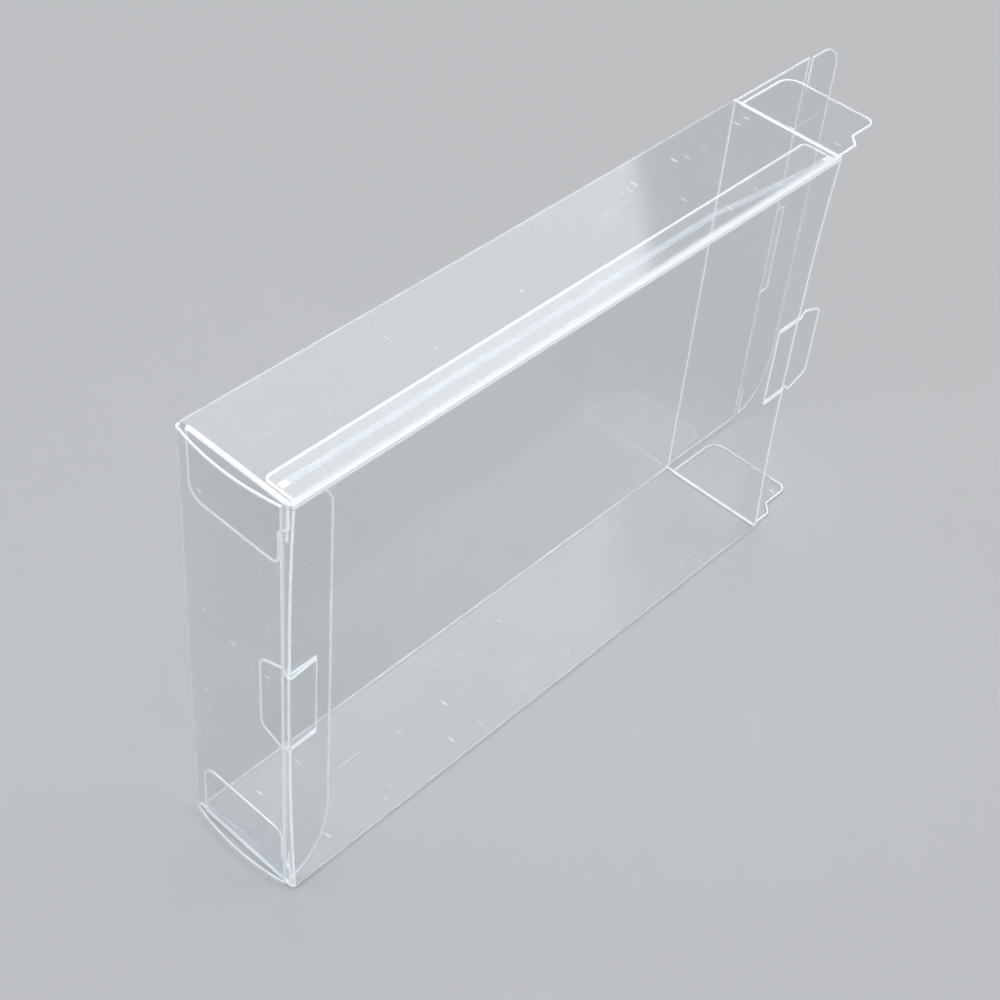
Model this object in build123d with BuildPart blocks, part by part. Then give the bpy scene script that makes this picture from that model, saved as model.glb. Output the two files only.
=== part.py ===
from build123d import *
import os

# Clear film box for a boxed game: one die-cut sheet, folded, glued along one seam and closed at one end.
# Millimetres. It stands on a narrow side: X runs towards the open end, Y towards the back and Z up.
# The origin is the middle of the base.

# Sheet
sheet = 0.4
fold_radius = 0.6

# Folded box, outside
box_length = 187.0
box_depth = 35.0
box_height = 132.0
front_bow = 1.5
front_flat_height = 32.0

# Glued seam: a flap of the front panel under the edge of the top panel
seam_width = 11.0
seam_end_inset = 1.4
seam_corner = 2.0
glue_film = 0.12
glue_width = 1.6
glue_drop = 2.2
glue_from_front = 6.5
glue_drift_start = 50.0
glue_drift_from_front = 2.2
glue_drift_turn = 60.0
glue_end_inset = 2.0
top_edge_inset = 0.1

# Creases that stay free to move, gaps between the layers of the closed box, and cuts
crease_gap = 0.15
layer_gap = 0.25
side_gap = 0.3
cut_width = 0.3

# Lids and their tuck flaps
lid_inset = 0.7
tuck_length = 14.4
tuck_inset = 1.35
tuck_top_corner = 8.0
tuck_curve_length = 13.0
tuck_curve_height = 21.0
end_slot_height = 10.5
closed_lid_bulge = 1.8

# Dust flaps
dust_length = 19.7
dust_back_inset = 2.5
dust_front_inset = 0.15
shoulder_length = 6.75
shoulder_step = 3.0
dust_back_corner = 4.5
dust_front_corner = 2.7

# Lock tabs at mid-height of the front panel, each on a bridge that is cut free of the panel on two sides
bridge_depth = 8.3
bridge_height = 25.0
tab_length = 10.0
tab_neck = 0.8
barb_start = 2.4
barb_height = 1.9
barb_corner = 1.5
tab_tip_height = 23.0
tab_tip_corner = 3.0
closed_tab_lift = 0.5

# Middle planes of the panels
half_sheet = sheet / 2
fold_middle = fold_radius - half_sheet
front_y = -box_depth / 2 + half_sheet
back_y = box_depth / 2 - half_sheet
bottom_z = half_sheet
top_z = box_height - half_sheet
seam_z = top_z - sheet - glue_film
middle_z = box_height / 2
lid_height = box_height - 2 * lid_inset

# Places along the length, from the middle
# The back panel is the longest, so that its lids close over the rest
crease_offset = crease_gap + half_sheet
back_end = box_length / 2
lid_axis = back_end + crease_offset
dust_axis = lid_axis - sheet - layer_gap
panel_end = dust_axis - crease_offset
tab_axis = dust_axis - side_gap
bridge_axis = panel_end - bridge_depth
overlap = 2 * sheet

# Places across the depth: a closed tuck flap lies just behind the bowed front panel
tab_y = front_y + front_bow
tuck_y = tab_y + sheet + side_gap
lid_width = back_y - tuck_y
tuck_axis = lid_axis + lid_width

# Slots beside the fold of a tuck flap, from that fold
# At both ends they take the dust flaps, and midway the lock tab
fold_cut = half_sheet
end_slot_reach = lid_axis - dust_axis + half_sheet + layer_gap
closed_tab_slot_reach = lid_axis - tab_axis + half_sheet + layer_gap
tab_tip_x = tab_axis + tab_length - lid_axis
tab_tip_y = back_y - tab_y + half_sheet
open_tab_slot_reach = (tab_tip_x**2 + tab_tip_y**2) ** 0.5 - lid_width + layer_gap
tab_slot_height = bridge_height + 2 * barb_height + 2 * side_gap


def dust_outline():
    """Dust flap seen flat: X runs out from its crease and Y towards the back panel."""
    front = -box_depth / 2 + fold_radius + dust_front_inset
    back = box_depth / 2 - dust_back_inset
    root = -overlap
    with BuildSketch() as outline:
        with BuildLine():
            FilletPolyline(
                (root, front),
                (shoulder_length, front),
                (shoulder_length + shoulder_step, front + shoulder_step),
                (dust_length, front + shoulder_step),
                (dust_length, back),
                (root, back),
                radius=[0, 0, 0, dust_front_corner, dust_back_corner, 0],
                close=True,
            )
        make_face()
    return outline.sketch


def tuck_outline(slot_root, tab_slot_reach):
    """Tuck flap seen flat: X runs out from its fold and Y up, with slots beside the fold."""
    low = tuck_inset
    high = box_height - tuck_inset
    root = -overlap
    with BuildSketch() as outline:
        with BuildLine():
            Polyline((tuck_length, low + tuck_curve_height), (tuck_length, high), (root, high), (root, low))
            Line((root, low), (tuck_length - tuck_curve_length, low))
            EllipticalCenterArc(
                (tuck_length - tuck_curve_length, low + tuck_curve_height),
                tuck_curve_length,
                tuck_curve_height,
                start_angle=270,
                arc_size=90,
            )
        make_face()
        fillet(outline.vertices().group_by(Axis.Y)[-1].sort_by(Axis.X)[-1], tuck_top_corner)
        with Locations(((end_slot_reach + slot_root) / 2, high), ((end_slot_reach + slot_root) / 2, low)):
            Rectangle(end_slot_reach - slot_root, 2 * end_slot_height, mode=Mode.SUBTRACT)
        with Locations(((tab_slot_reach + slot_root) / 2, middle_z)):
            Rectangle(tab_slot_reach - slot_root, tab_slot_height, mode=Mode.SUBTRACT)
    return outline.sketch


def tab_outline():
    """Lock tab seen flat: X runs out from its fold and Y up from its middle, with a barb on each side."""
    root = -overlap
    neck_y = bridge_height / 2
    barb_y = neck_y + barb_height
    tip_y = tab_tip_height / 2
    with BuildSketch() as outline:
        with BuildLine():
            FilletPolyline(
                (root, neck_y),
                (tab_neck, neck_y),
                (barb_start, barb_y),
                (tab_length, tip_y),
                (tab_length, -tip_y),
                (barb_start, -barb_y),
                (tab_neck, -neck_y),
                (root, -neck_y),
                radius=[0, 0, barb_corner, tab_tip_corner, tab_tip_corner, barb_corner, 0, 0],
                close=True,
            )
        make_face()
    return outline.sketch


def walls():
    """Four panels with rounded folds, the front one bowed inwards, and the seam flap under the top panel."""
    seam_end = panel_end - seam_end_inset
    seam_root = front_y + fold_radius
    seam_edge = -box_depth / 2 + seam_width
    flat_top = middle_z + front_flat_height / 2
    flat_bottom = middle_z - front_flat_height / 2
    with BuildPart() as sleeve:
        with BuildSketch(Plane.YZ):
            with BuildLine() as section:
                Line((seam_root + sheet, seam_z), (front_y, seam_z))
                TangentArc((tab_y, flat_top), (front_y, seam_z), tangent=(0, 1))
                Line((tab_y, flat_top), (tab_y, flat_bottom))
                TangentArc((tab_y, flat_bottom), (front_y, bottom_z), tangent=(0, -1))
                Polyline(
                    (front_y, bottom_z),
                    (back_y, bottom_z),
                    (back_y, top_z),
                    (-box_depth / 2 + top_edge_inset, top_z),
                )
                corners = section.vertices().filter_by(lambda at: abs(at.Y - middle_z) > front_flat_height)
                fillet(corners, fold_middle)
            trace(line_width=sheet)
        extrude(amount=panel_end, both=True)
        with BuildSketch(Plane.XY.offset(seam_z)):
            with BuildLine():
                FilletPolyline(
                    (-seam_end, seam_root),
                    (-seam_end, seam_edge),
                    (seam_end, seam_edge),
                    (seam_end, seam_root),
                    radius=[0, seam_corner, seam_corner, 0],
                    close=True,
                )
            make_face()
        extrude(amount=half_sheet, both=True)
        with BuildSketch(Plane.XZ.offset(-back_y)):
            with Locations(((panel_end - overlap + back_end) / 2, middle_z)):
                Rectangle(back_end - panel_end + overlap, lid_height)
        extrude(amount=half_sheet, both=True)
        cut_height = bridge_height + 2 * cut_width
        open_cut_root = bridge_axis - crease_offset
        with BuildSketch(Plane.XZ.offset(-tab_y)):
            with Locations(((open_cut_root + back_end) / 2, middle_z)):
                Rectangle(back_end - open_cut_root, cut_height)
            with Locations((-(bridge_axis + back_end) / 2, middle_z)):
                Rectangle(back_end - bridge_axis, cut_height)
        extrude(amount=2 * sheet, both=True, mode=Mode.SUBTRACT)
    return sleeve.part


def closed_lid():
    """Lid of the closed end, bulging a little, with its tuck flap behind the front panel."""
    with BuildPart() as lid:
        with BuildSketch(Plane.XY.offset(lid_inset)):
            with BuildLine() as section:
                Line((-panel_end + overlap, back_y), (-lid_axis, back_y))
                ThreePointArc(
                    (-lid_axis, back_y),
                    (-lid_axis - closed_lid_bulge, (back_y + tuck_y) / 2),
                    (-lid_axis, tuck_y),
                )
                Line((-lid_axis, tuck_y), (-lid_axis + tuck_length, tuck_y))
                fillet(section.vertices(), fold_middle)
            trace(line_width=sheet)
        extrude(amount=lid_height)
        with BuildSketch(Plane((-lid_axis, tuck_y, 0), x_dir=(1, 0, 0), z_dir=(0, -1, 0))):
            with Locations((fold_cut + tuck_length / 2, middle_z)):
                Rectangle(tuck_length, box_height)
            add(tuck_outline(fold_cut, closed_tab_slot_reach), mode=Mode.SUBTRACT)
        extrude(amount=sheet, both=True, mode=Mode.SUBTRACT)
    return lid.part


def closed_dust_flap():
    """Upper dust flap of the closed end, folded down square to the top panel."""
    with BuildPart() as flap:
        with BuildSketch(Plane.XZ):
            with BuildLine() as section:
                Polyline(
                    (-panel_end + overlap, top_z),
                    (-dust_axis, top_z),
                    (-dust_axis, top_z - dust_length),
                )
                fillet(section.vertices(), fold_middle)
            trace(line_width=sheet)
        extrude(amount=box_depth / 2, both=True)
        with BuildSketch(Plane((-dust_axis, 0, top_z), x_dir=(0, 0, -1), z_dir=(1, 0, 0))):
            add(dust_outline())
        extrude(amount=2 * fold_radius + overlap, both=True, mode=Mode.INTERSECT)
    return flap.part


def closed_lock_tab():
    """Lock tab of the closed end on its bridge, folded in through the slot of the tuck flap."""
    fold_y = tab_y - closed_tab_lift
    with BuildPart() as tab:
        with BuildSketch(Plane.XY.offset(middle_z)):
            with BuildLine() as section:
                Polyline(
                    (-bridge_axis + overlap, tab_y),
                    (-bridge_axis, tab_y),
                    (-tab_axis, fold_y),
                    (-tab_axis, fold_y + tab_length),
                )
                fillet(section.vertices().sort_by_distance((-tab_axis, fold_y))[0], fold_middle)
            trace(line_width=sheet)
        extrude(amount=tab_slot_height / 2, both=True)
        with BuildSketch(Plane((-tab_axis, fold_y, middle_z), x_dir=(0, 1, 0), z_dir=(1, 0, 0))):
            add(tab_outline())
        extrude(amount=2 * bridge_depth, both=True, mode=Mode.INTERSECT)
    return tab.part


def hinged_strip(plane, length, width):
    """Strip of film, its near edge rounded about a crease axis: the normal of the plane, at its origin."""
    with BuildPart() as strip:
        with BuildSketch(plane):
            Circle(half_sheet)
            with Locations((length / 2, 0)):
                Rectangle(length, sheet)
        extrude(amount=width / 2, both=True)
    return strip.part


# The sheet itself: walls, seam flap and the closed end
closed_upper_dust_flap = closed_dust_flap()
with BuildPart() as shell:
    add(walls())
    add(closed_lid())
    add(closed_upper_dust_flap)
    mirror(closed_upper_dust_flap, about=Plane.XY.offset(middle_z))
    add(closed_lock_tab())
shell.part.label = "shell"

# Line of glue between the seam flap and the top panel, with a drop at each end
# It drifts towards the front near the open end
with BuildPart() as seam_glue:
    glue_end = panel_end - seam_end_inset - glue_end_inset
    glue_y = -box_depth / 2 + glue_from_front
    glue_drift_y = -box_depth / 2 + glue_drift_from_front
    with BuildSketch(Plane.XY.offset(seam_z + half_sheet)):
        with BuildLine():
            FilletPolyline(
                (-glue_end, glue_y),
                (glue_drift_start, glue_y),
                (glue_end, glue_drift_y),
                radius=glue_drift_turn,
            )
        trace(line_width=glue_width)
        with Locations((-glue_end, glue_y), (glue_end, glue_drift_y)):
            Rectangle(glue_drop, glue_drop)
    extrude(amount=glue_film)
seam_glue.part.label = "seam_glue"

# Lid of the open end, straight out from the back panel
with BuildPart() as end_lid:
    add(hinged_strip(Plane((lid_axis, back_y, middle_z)), lid_width - crease_offset, lid_height))
end_lid.part.label = "end_lid"

# Tuck flap at the far edge of that lid
with BuildPart() as tuck_flap:
    add(hinged_strip(Plane((tuck_axis, back_y, middle_z)), tuck_length, box_height))
    with BuildSketch(Plane((tuck_axis, back_y, 0), x_dir=(1, 0, 0), z_dir=(0, -1, 0))):
        add(tuck_outline(-overlap, open_tab_slot_reach))
    extrude(amount=sheet, both=True, mode=Mode.INTERSECT)
tuck_flap.part.label = "tuck_flap"

# Dust flaps of the open end, straight out from the top and bottom panels
with BuildPart() as top_dust_flap:
    add(hinged_strip(Plane((dust_axis, 0, top_z), x_dir=(1, 0, 0), z_dir=(0, 1, 0)), dust_length, box_depth))
    with BuildSketch(Plane((dust_axis, 0, top_z))):
        add(dust_outline())
    extrude(amount=sheet, both=True, mode=Mode.INTERSECT)
top_dust_flap.part.label = "top_dust_flap"

with BuildPart() as bottom_dust_flap:
    mirror(top_dust_flap.part, about=Plane.XY.offset(middle_z))
bottom_dust_flap.part.label = "bottom_dust_flap"

# Bridge in the front panel that carries the lock tab of the open end
with BuildPart() as tab_bridge:
    bridge_length = tab_axis - crease_offset - bridge_axis
    add(hinged_strip(Plane((bridge_axis, tab_y, middle_z)), bridge_length, bridge_height))
tab_bridge.part.label = "tab_bridge"

with BuildPart() as lock_tab:
    add(hinged_strip(Plane((tab_axis, tab_y, middle_z)), tab_length, tab_slot_height))
    with BuildSketch(Plane((tab_axis, tab_y, middle_z), x_dir=(1, 0, 0), z_dir=(0, -1, 0))):
        add(tab_outline())
    extrude(amount=sheet, both=True, mode=Mode.INTERSECT)
lock_tab.part.label = "lock_tab"

os.makedirs("parts", exist_ok=True)
for piece in (shell, seam_glue, end_lid, tuck_flap, top_dust_flap, bottom_dust_flap, tab_bridge, lock_tab):
    export_step(piece.part, "parts/" + piece.part.label + ".step")
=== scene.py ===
import math
import random

import bmesh
import bpy
from mathutils import Matrix, Vector


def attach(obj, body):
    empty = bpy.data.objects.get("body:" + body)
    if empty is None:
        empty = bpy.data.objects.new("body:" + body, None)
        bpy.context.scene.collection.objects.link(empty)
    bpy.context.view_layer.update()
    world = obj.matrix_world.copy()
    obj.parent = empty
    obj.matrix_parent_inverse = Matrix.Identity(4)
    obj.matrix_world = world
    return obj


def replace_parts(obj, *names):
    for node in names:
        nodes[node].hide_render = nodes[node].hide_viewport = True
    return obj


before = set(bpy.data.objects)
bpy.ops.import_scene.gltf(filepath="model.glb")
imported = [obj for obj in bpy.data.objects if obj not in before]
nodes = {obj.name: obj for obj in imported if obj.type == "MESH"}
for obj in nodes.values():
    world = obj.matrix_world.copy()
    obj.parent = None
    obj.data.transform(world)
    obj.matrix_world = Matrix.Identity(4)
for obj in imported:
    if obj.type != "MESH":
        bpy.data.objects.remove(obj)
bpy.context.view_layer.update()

MM = 0.001

# Places on the box, from the middle of its base
FRONT_FOLD_Y = -17.3 * MM
FRONT_FOLD_Z = 131.8 * MM
GLUE_LOW = 131.48 * MM
GLUE_HIGH = 131.60 * MM
GLUE_REACH = 89.45 * MM
GLUE_DRIFT_START = 50.0 * MM
GLUE_Y = -11.0 * MM
GLUE_DRIFT_Y = -15.3 * MM
GLUE_HALF_WIDTH = 1.25 * MM
GLUE_DROP_LENGTH = 2.2 * MM
GLUE_DROP_HALF_WIDTH = 1.0 * MM

# What is laid inside the 0.4 mm sheet
WELD = 0.002 * MM
SHARP_TURN = math.radians(50.0)
CUT_EDGE_WIDTHS = (0.2 * MM, 0.43 * MM)
SHORTEST_CUT = 5.0 * MM
CUT_EDGE_CLEAR = 0.03 * MM
FOLD_CLEAR = 0.04 * MM
FOLD_DEPTH = 0.3 * MM
LEAST_LEAN = 0.03
MOST_ALONG = 0.05

# Film
# A thin sheet moves what is behind it hardly at all, so its index is close to air's
SHEET_BEND = 1.022
FILM_INDEX = 1.5
SKINS_MIRROR = 1.8
MOST_BENDS = 7.5
MOST_HAZE = 0.92
# Whiteness at the folds, partly the crease's own whitening, partly a painted highlight
FOLD_WHITE_AND_HIGHLIGHT = (0.36, 0.6)
CLEAR = (1.0, 1.0, 1.0, 1.0)
COOL_GREY = (0.938, 0.945, 0.951, 1.0)
SHADE_GREY = (0.885, 0.895, 0.905, 1.0)
GLOSS_TINT = (0.97, 0.985, 1.0, 1.0)
SCUFF_AND_HIGHLIGHT_WHITE = (0.97, 0.98, 0.99, 1.0)
# Colour of the painted glow, by emission, on the cut edges and the whitened folds
PAINTED_GLOW_COLOUR = (0.86, 0.95, 1.0, 1.0)

# Camera and studio
LENS = 69.48
CAMERA_PLACE = Vector((-276.22, -220.22, 402.79)) * MM
CAMERA_FORWARD = Vector((0.55447, 0.45420, -0.69732))
CAMERA_RIGHT = Vector((0.68500, -0.72493, 0.07249))
FLOOR_SIZE = 24.0
FLOOR_DROP = 0.2 * MM
AIR_GREY = (0.608, 0.615, 0.625, 1.0)
BOX_MIDDLE = (0.0, 0.0, 0.07)
SOFTBOXES = [
    ("right_front_strip", (0.62, -0.62, 0.72), BOX_MIDDLE, 0.75, 0.4, 2.2, (1.0, 0.99, 0.97)),
    ("left_back_strip", (-0.62, 0.42, 0.55), BOX_MIDDLE, 0.5, 0.12, 1.2, (0.96, 0.98, 1.0)),
    ("overhead_panel", (-0.25, -0.25, 1.1), (0.0, 0.0, 0.0), 0.6, 0.6, 0.8, (1.0, 1.0, 1.0)),
    ("far_overhead_panel", (0.40, 0.56, 0.86), BOX_MIDDLE, 0.62, 0.55, 1.6, (1.0, 1.0, 1.0)),
]


def place_camera():
    data = bpy.data.cameras.new("studio_camera")
    data.sensor_width = 36.0
    data.lens = LENS
    data.clip_start = 0.01
    data.clip_end = 20.0
    camera = bpy.data.objects.new("studio_camera", data)
    bpy.context.scene.collection.objects.link(camera)
    forward = CAMERA_FORWARD.normalized()
    right = (CAMERA_RIGHT - forward * CAMERA_RIGHT.dot(forward)).normalized()
    up = right.cross(forward)
    turn = Matrix((right, up, -forward)).transposed().to_4x4()
    camera.matrix_world = Matrix.Translation(CAMERA_PLACE) @ turn
    bpy.context.scene.camera = camera


def softbox(name, place, target, width, height, power, colour):
    data = bpy.data.lights.new(name, "AREA")
    data.shape = "RECTANGLE"
    data.size = width
    data.size_y = height
    data.energy = power
    data.color = colour
    lamp = bpy.data.objects.new(name, data)
    bpy.context.scene.collection.objects.link(lamp)
    lamp.location = place
    lamp.rotation_mode = "QUATERNION"
    lamp.rotation_quaternion = (Vector(target) - Vector(place)).to_track_quat("-Z", "Y")


def floor_and_light():
    bpy.ops.mesh.primitive_grid_add(x_subdivisions=8, y_subdivisions=8, size=FLOOR_SIZE,
                                    location=(0.0, 0.0, -FLOOR_DROP))
    floor = bpy.context.object
    floor.name = "studio_floor"
    floor.data.materials.append(floor_finish())
    for settings in SOFTBOXES:
        softbox(*settings)
    world = bpy.data.worlds.new("studio_air")
    world.use_nodes = True
    air = world.node_tree.nodes["Background"]
    air.inputs["Color"].default_value = AIR_GREY
    air.inputs["Strength"].default_value = 1.0
    bpy.context.scene.world = world


# Shader helpers

def fresh_material(name):
    material = bpy.data.materials.new(name)
    material.use_nodes = True
    material.node_tree.nodes.clear()
    return material, material.node_tree


def add(tree, kind, settings=None, sockets=None, links=None):
    node = tree.nodes.new(kind)
    for key, value in (settings or {}).items():
        setattr(node, key, value)
    for key, value in (sockets or {}).items():
        node.inputs[key].default_value = value
    for key, source in (links or {}).items():
        tree.links.new(source, node.inputs[key])
    return node


def maths(tree, operation, first, second, clamp=False):
    node = tree.nodes.new("ShaderNodeMath")
    node.operation = operation
    node.use_clamp = clamp
    for socket, value in zip(node.inputs, (first, second)):
        if isinstance(value, (int, float)):
            socket.default_value = value
        else:
            tree.links.new(value, socket)
    return node.outputs[0]


def ramp(tree, value, low, high, out_low=0.0, out_high=1.0, shape="SMOOTHSTEP"):
    node = tree.nodes.new("ShaderNodeMapRange")
    node.interpolation_type = shape
    node.clamp = True
    tree.links.new(value, node.inputs["Value"])
    for key, number in (("From Min", low), ("From Max", high), ("To Min", out_low), ("To Max", out_high)):
        node.inputs[key].default_value = number
    return node.outputs["Result"]


def stretched(tree, place, scale, turn=(0.0, 0.0, 0.0)):
    return add(tree, "ShaderNodeMapping", sockets={"Scale": scale, "Rotation": turn},
               links={"Vector": place}).outputs["Vector"]


def noise(tree, place, scale, detail, roughness=0.5):
    return add(tree, "ShaderNodeTexNoise",
               sockets={"Scale": scale, "Detail": detail, "Roughness": roughness},
               links={"Vector": place}).outputs["Fac"]


def blend(tree, factor, first, second):
    return add(tree, "ShaderNodeMix", {"data_type": "RGBA"}, {"A": first, "B": second},
               {"Factor": factor}).outputs["Result"]


def mixed(tree, factor, first, second):
    return add(tree, "ShaderNodeMixShader", links={0: factor, 1: first, 2: second}).outputs[0]


def group_of(name, inputs, outputs):
    group = bpy.data.node_groups.new(name, "ShaderNodeTree")
    for label, value in inputs:
        socket = group.interface.new_socket(label, in_out="INPUT", socket_type="NodeSocketFloat")
        socket.default_value = value
    for label in outputs:
        group.interface.new_socket(label, in_out="OUTPUT", socket_type="NodeSocketFloat")
    return group, group.nodes.new("NodeGroupInput"), group.nodes.new("NodeGroupOutput")


# Finishes

def specks(group, place, scale, channel, size, chance):
    """Spots at the points of a cell pattern, in the share of the cells that chance picks."""
    cells = add(group, "ShaderNodeTexVoronoi", {"feature": "F1"}, {"Scale": scale}, {"Vector": place})
    lot = add(group, "ShaderNodeSeparateColor", links={"Color": cells.outputs["Color"]}).outputs[channel]
    spot = ramp(group, cells.outputs["Distance"], *size, 1.0, 0.0)
    return maths(group, "MULTIPLY", spot, ramp(group, lot, *chance))


def handling_marks():
    """Drag scratches along the box, dust specks and soft smears, as a haze, a roughness and a height."""
    group, given, result = group_of(
        "handling_marks",
        [("Scratch Amount", 1.0), ("Dust Amount", 1.0), ("Base Roughness", 0.05)],
        ["Haze", "Roughness", "Height"],
    )
    place = add(group, "ShaderNodeTexCoord").outputs["Object"]
    streaks = noise(group, stretched(group, place, (14.0, 1300.0, 1300.0), (0.0, 0.03, 0.02)), 1.0, 2.0)
    worn = ramp(group, noise(group, place, 22.0, 2.0), 0.46, 0.66)
    scratch = maths(group, "MULTIPLY", ramp(group, streaks, 0.66, 0.74), worn)
    scratch = maths(group, "MULTIPLY", scratch, given.outputs["Scratch Amount"])
    dots = specks(group, place, 250.0, "Red", (0.03, 0.09), (0.5, 0.95))
    lint_place = stretched(group, place, (420.0, 95.0, 300.0))
    lint = specks(group, lint_place, 1.0, "Green", (0.07, 0.17), (0.55, 0.97))
    dust = maths(group, "MULTIPLY", maths(group, "ADD", dots, lint), given.outputs["Dust Amount"])
    smear = ramp(group, noise(group, place, 34.0, 4.0, 0.6), 0.45, 0.8, 0.0, 0.05)
    haze = maths(group, "ADD", maths(group, "MULTIPLY", scratch, 0.3), maths(group, "MULTIPLY", dust, 0.85))
    haze = maths(group, "ADD", haze, smear, clamp=True)
    group.links.new(haze, result.inputs["Haze"])
    rough = maths(group, "ADD", given.outputs["Base Roughness"], maths(group, "MULTIPLY", smear, 2.0))
    group.links.new(rough, result.inputs["Roughness"])
    height = maths(group, "ADD", noise(group, place, 16.0, 1.0), maths(group, "MULTIPLY", scratch, 0.02))
    group.links.new(height, result.inputs["Height"])
    return group


def fold_whitening_and_highlight(tree, coordinates, stress):
    """White where the sheet bends from one panel to the next, partly the crease's own whitening and partly a
    painted highlight for light the curved fold catches.
    """
    faced = add(tree, "ShaderNodeVectorMath", {"operation": "ABSOLUTE"},
                links={0: coordinates.outputs["Normal"]})
    parts = add(tree, "ShaderNodeSeparateXYZ", links={0: faced.outputs["Vector"]})
    flat = maths(tree, "MAXIMUM", parts.outputs["X"], parts.outputs["Y"])
    flat = maths(tree, "MAXIMUM", flat, parts.outputs["Z"])
    return maths(tree, "MULTIPLY", ramp(tree, flat, 0.97, 0.80), ramp(tree, stress, 0.3, 0.7, *FOLD_WHITE_AND_HIGHLIGHT))


def seam_whitening_and_sheen(tree, coordinates, stress):
    """The bright streak beside the seam's fold, frayed on its inner side, and a faint painted sheen on the
    seam flap that stands in for the double layer's reflection.
    """
    spot = add(tree, "ShaderNodeSeparateXYZ", links={0: coordinates.outputs["Object"]})
    fray = ramp(tree, stress, 0.3, 0.7, 0.0, 0.5 * MM, "LINEAR")
    across = maths(tree, "ADD", maths(tree, "SUBTRACT", spot.outputs["Y"], FRONT_FOLD_Y), fray)
    down = maths(tree, "SUBTRACT", FRONT_FOLD_Z, spot.outputs["Z"])
    near_top = ramp(tree, down, 1.1 * MM, 0.5 * MM)
    streak = maths(tree, "MULTIPLY", ramp(tree, across, 2.9 * MM, 0.5 * MM, 0.0, MOST_HAZE), near_top)
    # Painted sheen on the seam flap, standing in for the double layer's reflection
    flap = maths(tree, "MULTIPLY", ramp(tree, down, 0.28 * MM, 0.34 * MM),
                 ramp(tree, down, 0.8 * MM, 0.74 * MM))
    return maths(tree, "ADD", streak, maths(tree, "MULTIPLY", flap, 0.09))


def clear_film(marks, name="clear_film", seam_streak_and_sheen=False):
    """Thin clear sheet: lets light through with a faint cool grey, mirrors by angle, whitens at folds,
    partly as the crease's own whitening and partly as a painted highlight.
    """
    material, tree = fresh_material(name)
    output = add(tree, "ShaderNodeOutputMaterial")
    coordinates = add(tree, "ShaderNodeTexCoord")
    worn = add(tree, "ShaderNodeGroup", {"node_tree": marks},
               {"Scratch Amount": 1.0, "Dust Amount": 1.0, "Base Roughness": 0.08})
    side = add(tree, "ShaderNodeNewGeometry").outputs["Backfacing"]
    path = add(tree, "ShaderNodeLightPath")
    lamp_ray = path.outputs["Is Shadow Ray"]

    stress = noise(tree, stretched(tree, coordinates.outputs["Object"], (24.0, 300.0, 300.0)), 1.0, 2.0)
    haze = maths(tree, "ADD", worn.outputs["Haze"], fold_whitening_and_highlight(tree, coordinates, stress))
    if seam_streak_and_sheen:
        haze = maths(tree, "ADD", haze, seam_whitening_and_sheen(tree, coordinates, stress))
    haze = maths(tree, "MINIMUM", haze, MOST_HAZE)

    ripple = add(tree, "ShaderNodeBump", sockets={"Strength": 0.22, "Distance": 1.0 * MM},
                 links={"Height": worn.outputs["Height"]})
    gloss = add(tree, "ShaderNodeBsdfAnisotropic", sockets={"Color": GLOSS_TINT},
                links={"Roughness": worn.outputs["Roughness"], "Normal": ripple.outputs["Normal"]})
    # White shader for dust, scratches and smears, and also for the painted highlight at the folds and the
    # seam
    scuff_and_highlight = add(tree, "ShaderNodeBsdfPrincipled",
                  sockets={"Base Color": SCUFF_AND_HIGHLIGHT_WHITE, "Roughness": 0.42, "IOR": FILM_INDEX})
    straight_in = add(tree, "ShaderNodeBsdfRefraction",
                      sockets={"Color": COOL_GREY, "Roughness": 0.0, "IOR": SHEET_BEND})
    straight_out = add(tree, "ShaderNodeBsdfRefraction",
                       sockets={"Color": CLEAR, "Roughness": 0.0, "IOR": SHEET_BEND})
    open_in = add(tree, "ShaderNodeBsdfTransparent", sockets={"Color": COOL_GREY})
    open_out = add(tree, "ShaderNodeBsdfTransparent", sockets={"Color": CLEAR})
    shaded = add(tree, "ShaderNodeBsdfTransparent", sockets={"Color": SHADE_GREY})

    deep = maths(tree, "GREATER_THAN", path.outputs["Transmission Depth"], MOST_BENDS)
    mirror = add(tree, "ShaderNodeFresnel", sockets={"IOR": FILM_INDEX}).outputs["Fac"]
    both_skins = maths(tree, "MULTIPLY", mirror, SKINS_MIRROR, clamp=True)
    through = mixed(tree, deep, straight_in.outputs[0], open_in.outputs[0])
    shiny = mixed(tree, both_skins, through, gloss.outputs[0])
    marked_and_highlighted = mixed(tree, haze, shiny, scuff_and_highlight.outputs[0])
    front = mixed(tree, lamp_ray, marked_and_highlighted, shaded.outputs[0])
    back = mixed(tree, maths(tree, "MAXIMUM", lamp_ray, deep), straight_out.outputs[0], open_out.outputs[0])
    tree.links.new(mixed(tree, side, front, back), output.inputs["Surface"])
    return material


def cut_edge_finish(name, thin, dense, painted_glow):
    """The sheared edge of the sheet: frosted, uneven, and given a faint painted glow that stands in for
    light the sheet carries to it.
    """
    material, tree = fresh_material(name)
    output = add(tree, "ShaderNodeOutputMaterial")
    place = add(tree, "ShaderNodeTexCoord").outputs["Object"]
    nicks = noise(tree, place, 260.0, 3.0)
    cover = ramp(tree, noise(tree, place, 55.0, 3.0, 0.6), 0.36, 0.62, thin, dense)
    lift = add(tree, "ShaderNodeBump", sockets={"Strength": 0.5, "Distance": 0.1 * MM},
               links={"Height": nicks})
    body = add(tree, "ShaderNodeBsdfPrincipled",
               sockets={"IOR": FILM_INDEX, "Emission Color": PAINTED_GLOW_COLOUR, "Emission Strength": painted_glow},
               links={"Base Color": blend(tree, nicks, (0.88, 0.92, 0.95, 1.0), (0.99, 0.995, 1.0, 1.0)),
                      "Roughness": ramp(tree, nicks, 0.3, 0.7, 0.22, 0.5), "Alpha": cover,
                      "Normal": lift.outputs["Normal"]})
    tree.links.new(body.outputs[0], output.inputs["Surface"])
    return material


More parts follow.
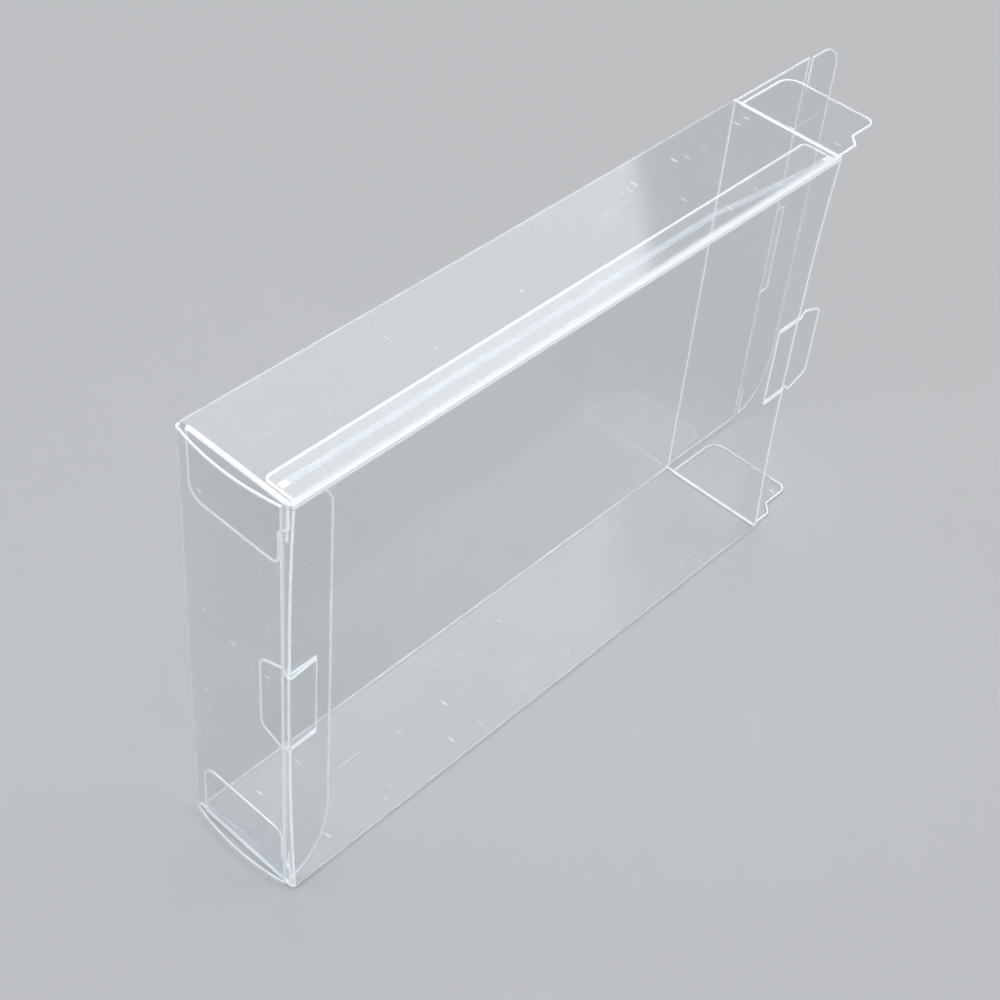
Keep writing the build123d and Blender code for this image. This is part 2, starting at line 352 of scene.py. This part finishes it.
def stressed_fold_with_glow_finish(name, thin, dense, painted_glow):
    """Film that a fold has turned white, patchy along its length, from a thin to a dense cover, with a faint
    painted glow.
    """
    material, tree = fresh_material(name)
    output = add(tree, "ShaderNodeOutputMaterial")
    crazing = noise(tree, add(tree, "ShaderNodeTexCoord").outputs["Object"], 140.0, 3.0)
    lift = add(tree, "ShaderNodeBump", sockets={"Strength": 0.2, "Distance": 0.1 * MM},
               links={"Height": crazing})
    body = add(tree, "ShaderNodeBsdfPrincipled",
               sockets={"IOR": FILM_INDEX, "Roughness": 0.3, "Emission Color": PAINTED_GLOW_COLOUR,
                        "Emission Strength": painted_glow},
               links={"Base Color": blend(tree, crazing, (0.88, 0.92, 0.94, 1.0), (0.98, 0.99, 1.0, 1.0)),
                      "Alpha": ramp(tree, crazing, 0.3, 0.6, thin, dense), "Normal": lift.outputs["Normal"]})
    tree.links.new(body.outputs[0], output.inputs["Surface"])
    return material


def glue_finish():
    """Dried clear glue: milky, bluish, thin at its sides, with bubbles and thin places."""
    material, tree = fresh_material("dried_glue")
    output = add(tree, "ShaderNodeOutputMaterial")
    place = add(tree, "ShaderNodeTexCoord").outputs["Object"]
    streaks = noise(tree, stretched(tree, place, (90.0, 700.0, 700.0)), 1.0, 4.0, 0.6)
    bubbles = add(tree, "ShaderNodeTexVoronoi", {"feature": "F1"}, {"Scale": 900.0}, {"Vector": place})
    bubble = ramp(tree, bubbles.outputs["Distance"], 0.12, 0.3, 0.12, 0.0)
    thickness = add(tree, "ShaderNodeAttribute", {"attribute_name": "glue_thickness"}).outputs["Fac"]
    cover = maths(tree, "ADD", ramp(tree, streaks, 0.3, 0.75, 0.16, 0.42), bubble)
    cover = maths(tree, "MULTIPLY", cover, thickness, clamp=True)
    milk = blend(tree, streaks, (0.74, 0.85, 0.96, 1.0), (0.93, 0.97, 1.0, 1.0))
    set_hard = add(tree, "ShaderNodeMix", {"data_type": "RGBA"}, {"B": (0.97, 0.985, 1.0, 1.0)},
                   {"Factor": ramp(tree, thickness, 1.2, 2.4), "A": milk})
    body = add(tree, "ShaderNodeBsdfPrincipled", sockets={"Roughness": 0.3, "IOR": 1.47},
               links={"Base Color": set_hard.outputs["Result"], "Alpha": cover})
    tree.links.new(body.outputs[0], output.inputs["Surface"])
    return material


def floor_finish():
    material, tree = fresh_material("studio_floor")
    output = add(tree, "ShaderNodeOutputMaterial")
    mottle = noise(tree, add(tree, "ShaderNodeTexCoord").outputs["Object"], 3.0, 3.0)
    body = add(tree, "ShaderNodeBsdfPrincipled", sockets={"Roughness": 0.75},
               links={"Base Color": blend(tree, mottle, (0.52, 0.53, 0.54, 1.0), (0.56, 0.57, 0.58, 1.0))})
    tree.links.new(body.outputs[0], output.inputs["Surface"])
    return material


# Pieces

def welded(node):
    work = bmesh.new()
    work.from_mesh(nodes[node].data)
    bmesh.ops.remove_doubles(work, verts=work.verts, dist=WELD)
    work.normal_update()
    return work


def riding(mesh, body, finish):
    piece = bpy.data.objects.new(mesh.name, mesh)
    bpy.context.scene.collection.objects.link(piece)
    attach(piece, body)
    mesh.materials.append(finish)
    return piece


def thin_solid(name, points, faces, body, finish):
    mesh = bpy.data.meshes.new(name)
    mesh.from_pydata(points, [], faces)
    mesh.validate()
    mesh.update()
    riding(mesh, body, finish)


def turn_faces_out(mesh):
    work = bmesh.new()
    work.from_mesh(mesh)
    bmesh.ops.recalc_face_normals(work, faces=work.faces)
    work.to_mesh(mesh)
    work.free()
    mesh.update()


def layer_faces(chosen, number):
    """Each chosen face, its twin on the deeper layer, and a strip along the open sides."""
    inside, faces = set(chosen), []
    for face in chosen:
        ring = [number[v] for v in face.verts]
        faces.append(ring)
        faces.append([i + 1 for i in reversed(ring)])
        for loop in face.loops:
            if sum(g in inside for g in loop.edge.link_faces) == 1:
                a, b = number[loop.vert], number[loop.link_loop_next.vert]
                faces.append([b, a, a + 1, b + 1])
    return faces


def smooth_patches(work):
    """Faces that meet without a sharp turn, grouped: the sheet's two skins and each run of its cut edge."""
    sharp = {e for e in work.edges if len(e.link_faces) == 2
             and e.link_faces[0].normal.angle(e.link_faces[1].normal, 0.0) > SHARP_TURN}
    seen, patches = set(), []
    for face in work.faces:
        if face in seen:
            continue
        seen.add(face)
        patch, waiting = [], [face]
        while waiting:
            current = waiting.pop()
            patch.append(current)
            for edge in current.edges:
                if edge in sharp:
                    continue
                for neighbour in edge.link_faces:
                    if neighbour not in seen:
                        seen.add(neighbour)
                        waiting.append(neighbour)
        patches.append(patch)
    return patches


def is_cut_edge(patch):
    inside = set(patch)
    rim = [e for f in patch for e in f.edges if sum(g in inside for g in e.link_faces) == 1]
    round_length = sum(e.calc_length() for e in rim)
    if round_length < SHORTEST_CUT:
        return False
    narrowest, widest = CUT_EDGE_WIDTHS
    return narrowest < 2 * sum(f.calc_area() for f in patch) / round_length < widest


def cut_edge_piece(name, body, node, finish, depth):
    """A solid bead along every cut edge of a sheet, just inside its skins, read from the given node."""
    work = welded(node)
    points, faces = [], []
    for patch in filter(is_cut_edge, smooth_patches(work)):
        inside = set(patch)
        number = {}
        for vertex in dict.fromkeys(v for f in patch for v in f.verts):
            own = [f.normal for f in vertex.link_faces if f in inside]
            skin = [f.normal for f in vertex.link_faces if f not in inside]
            cut_way = sum(own, Vector()).normalized()
            mitre = 1.0 / max(0.5, min(cut_way.dot(n) for n in own))
            skin_way = sum(skin, Vector())
            skin_way = skin_way - cut_way * skin_way.dot(cut_way)
            skin_way = skin_way.normalized() if skin_way.length > 1e-6 else Vector()
            outer = vertex.co - cut_way * CUT_EDGE_CLEAR * mitre - skin_way * CUT_EDGE_CLEAR
            number[vertex] = len(points)
            points += [outer, outer - cut_way * depth * mitre]
        faces += layer_faces(patch, number)
    work.free()
    thin_solid(name, points, faces, body, finish)


def in_bend(face, corner):
    """A corner names two axes, each with its side and where it starts. The fold runs along the third."""
    way, place = face.normal, face.calc_center_median()
    for axis in "xyz":
        lean = getattr(way, axis)
        if axis not in corner:
            if abs(lean) >= MOST_ALONG:
                return False
            continue
        side, start = corner[axis]
        if side * lean <= LEAST_LEAN or side * getattr(place, axis) <= side * start * MM:
            return False
    return True


def fold_piece(name, finish, corners):
    """A thin solid band inside the sheet along a fold: the outer skin's faces there, a little deeper."""
    work = welded("shell")
    chosen = [f for f in work.faces if any(in_bend(f, corner) for corner in corners)]
    inside = set(chosen)
    number, points = {}, []
    for vertex in dict.fromkeys(v for f in chosen for v in f.verts):
        way = sum((f.normal for f in vertex.link_faces if f in inside), Vector()).normalized()
        number[vertex] = len(points)
        points += [vertex.co - way * FOLD_CLEAR, vertex.co - way * (FOLD_CLEAR + FOLD_DEPTH)]
    faces = layer_faces(chosen, number)
    work.free()
    thin_solid(name, points, faces, "sleeve", finish)


def score_band(name, finish, start, end, half_width, half_thick, seed):
    """A whitened score line: a lens-shaped band inside the sheet, its width wandering along the crease."""
    dice = random.Random(seed)
    lens = ((-1.0, 0.0), (-0.75, 0.8), (0.0, 1.0), (0.75, 0.8),
            (1.0, 0.0), (0.75, -0.8), (0.0, -1.0), (-0.75, -0.8))
    start, end = Vector(start) * MM, Vector(end) * MM
    wide, thick = Vector(half_width) * MM, Vector(half_thick) * MM
    steps = max(12, round((end - start).length / (1.5 * MM)))
    points, faces = [], []
    for i in range(steps + 1):
        taper = 0.6 if i in (0, steps) else 1.0 - dice.uniform(0.0, 0.16)
        for u, v in lens:
            points.append(start.lerp(end, i / steps) + wide * u * taper + thick * v)
    count = len(lens)
    for i in range(steps):
        for k in range(count):
            a, b = i * count + k, i * count + (k + 1) % count
            faces.append([a, b, b + count, a + count])
    faces.append(list(range(count)))
    faces.append([steps * count + k for k in reversed(range(count))])
    mesh = bpy.data.meshes.new(name)
    mesh.from_pydata(points, [], faces)
    turn_faces_out(mesh)
    riding(mesh, "sleeve", finish)


def glue_line_y(x):
    drift = max(0.0, (x - GLUE_DRIFT_START) / (GLUE_REACH - GLUE_DRIFT_START))
    return GLUE_Y + (GLUE_DRIFT_Y - GLUE_Y) * (drift + 0.12 * math.sin(math.pi * drift))


def glue_streak(finish):
    """The glue between seam flap and top wall: uneven, thin at its sides, with a drop at each end."""
    dice = random.Random(7)
    sway = [dice.uniform(-1, 1) for _ in range(14)]
    steps = 300
    columns = (-1.0, -0.8, -0.5, -0.2, 0.2, 0.5, 0.8, 1.0)
    depths = (0.0, 0.4, 0.8, 1.0, 1.0, 0.8, 0.4, 0.0)
    gap = GLUE_HIGH - GLUE_LOW
    points, cover = [], []
    for i in range(steps + 1):
        t = i / steps
        x = (2 * t - 1) * (GLUE_REACH + 1.05 * MM)
        wave = sum(s * math.sin(t * (k + 2) * 5.3 + k) for k, s in enumerate(sway)) / 10
        drift = sum(s * math.cos(t * (k + 1) * 3.1 + 2 * k) for k, s in enumerate(sway)) / 14
        drop = (GLUE_REACH + 1.1 * MM - abs(x)) < GLUE_DROP_LENGTH
        middle = glue_line_y(max(-GLUE_REACH, min(GLUE_REACH, x))) + (0.0 if drop else 0.3 * drift * MM)
        half = GLUE_DROP_HALF_WIDTH if drop else GLUE_HALF_WIDTH + 0.3 * wave * MM
        for column, depth in zip(columns, depths):
            rise = 0.92 if drop else 0.3 + 0.6 * depth
            shown = 3.4 * min(1.0, 1.6 * (1.0 - abs(column)) + 0.4) if drop else depth
            points.append((x, middle + column * half, GLUE_LOW + 0.06 * gap))
            points.append((x, middle + column * half, GLUE_LOW + rise * gap))
            cover += [shown, shown]
    across = 2 * len(columns)
    faces = []
    for i in range(steps):
        for k in range(len(columns) - 1):
            a = i * across + 2 * k
            faces.append([a, a + across, a + across + 2, a + 2])
            faces.append([a + 1, a + 3, a + across + 3, a + across + 1])
        a = i * across
        faces.append([a, a + 1, a + across + 1, a + across])
        a += across - 2
        faces.append([a, a + across, a + across + 1, a + 1])
    for i in (0, steps):
        a = i * across
        low_side = [a + 2 * k for k in range(len(columns))]
        faces.append(low_side + [v + 1 for v in reversed(low_side)])
    mesh = bpy.data.meshes.new("glue_streak")
    mesh.from_pydata(points, [], faces)
    mesh.attributes.new("glue_thickness", "FLOAT", "POINT").data.foreach_set("value", cover)
    turn_faces_out(mesh)
    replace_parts(riding(mesh, "sleeve", finish), "seam_glue")


place_camera()
floor_and_light()

marks = handling_marks()
film = clear_film(marks)
sleeve_film = clear_film(marks, "clear_film_sleeve", seam_streak_and_sheen=True)
# The cut edges and folds below carry a faint painted glow, by emission, standing in for light the clear
# sheet carries along to them
wall_edge = cut_edge_finish("wall_cut_edge", 0.7, 1.0, 0.2)
flap_edge = cut_edge_finish("flap_cut_edge", 0.4, 0.88, 0.1)
hard_fold_with_glow = stressed_fold_with_glow_finish("hard_fold_with_glow", 0.82, 1.0, 0.18)
soft_fold_with_glow = stressed_fold_with_glow_finish("soft_fold_with_glow", 0.26, 0.58, 0.06)
faint_fold_with_glow = stressed_fold_with_glow_finish("faint_fold_with_glow", 0.08, 0.36, 0.04)
glue = glue_finish()

for node_name, node in nodes.items():
    for slot in node.material_slots:
        slot.material = sleeve_film if node_name == "shell" else film

CUT_EDGES = [
    ("sleeve_cut_edges", "sleeve", "shell", wall_edge, 0.55 * MM),
    ("lid_cut_edges", "lid", "end_lid", flap_edge, 0.5 * MM),
    ("tuck_cut_edges", "tuck", "tuck_flap", flap_edge, 0.5 * MM),
    ("top_dust_cut_edges", "top_dust", "top_dust_flap", flap_edge, 0.55 * MM),
    ("bottom_dust_cut_edges", "bottom_dust", "bottom_dust_flap", flap_edge, 0.5 * MM),
    ("bridge_cut_edges", "bridge", "tab_bridge", wall_edge, 0.5 * MM),
    ("tab_cut_edges", "tab", "lock_tab", wall_edge, 0.5 * MM),
]
for settings in CUT_EDGES:
    cut_edge_piece(*settings)

glue_streak(glue)

# Each fold gets the finish that matches how bright it shows under these lamps: denser whitening and more
# painted glow on the brighter folds
FOLDS = [
    ("near_dust_folds", hard_fold_with_glow,
     [{"x": (-1, -92.7), "z": (1, 130.9)}, {"x": (-1, -92.7), "z": (-1, 1.1)}]),
    ("seam_fold", hard_fold_with_glow, [{"y": (-1, -16.85), "z": (1, 130.8)}]),
    ("near_tuck_fold", hard_fold_with_glow, [{"x": (-1, -92.85), "y": (-1, -14.0)}]),
    ("back_bottom_fold", soft_fold_with_glow, [{"y": (1, 16.2), "z": (-1, 1.2)}]),
    ("near_lid_fold", soft_fold_with_glow, [{"x": (-1, -92.85), "y": (1, 16.2)}]),
    ("back_top_fold", faint_fold_with_glow, [{"y": (1, 16.2), "z": (1, 130.8)}]),
    ("front_bottom_fold", faint_fold_with_glow, [{"y": (-1, -16.2), "z": (-1, 1.2)}]),
]
for settings in FOLDS:
    fold_piece(*settings)

SCORES = [
    ("seam_score", (-91.0, -16.35, 131.28), (91.0, -16.35, 131.28), (0, 0.42, 0), (0, 0, 0.15), 20),
    ("near_top_score", (-92.6, -16.7, 131.8), (-92.6, 14.9, 131.8), (0.42, 0, 0), (0, 0, 0.15), 21),
    ("near_bottom_score", (-92.6, -16.7, 0.2), (-92.6, 14.9, 0.2), (0.3, 0, 0), (0, 0, 0.15), 22),
    ("far_top_score", (92.28, -16.7, 131.8), (92.28, 14.9, 131.8), (0.42, 0, 0), (0, 0, 0.15), 23),
    ("far_bottom_score", (92.24, -16.7, 0.2), (92.24, 14.9, 0.2), (0.42, 0, 0), (0, 0, 0.15), 24),
    ("near_bridge_score", (-84.55, -15.8, 53.6), (-84.55, -15.8, 78.4), (0.2, 0, 0), (0, 0.15, 0), 25),
]
for score_name, *measures in SCORES:
    score_band(score_name, hard_fold_with_glow, *measures)

bpy.context.scene.view_settings.view_transform = "Standard"
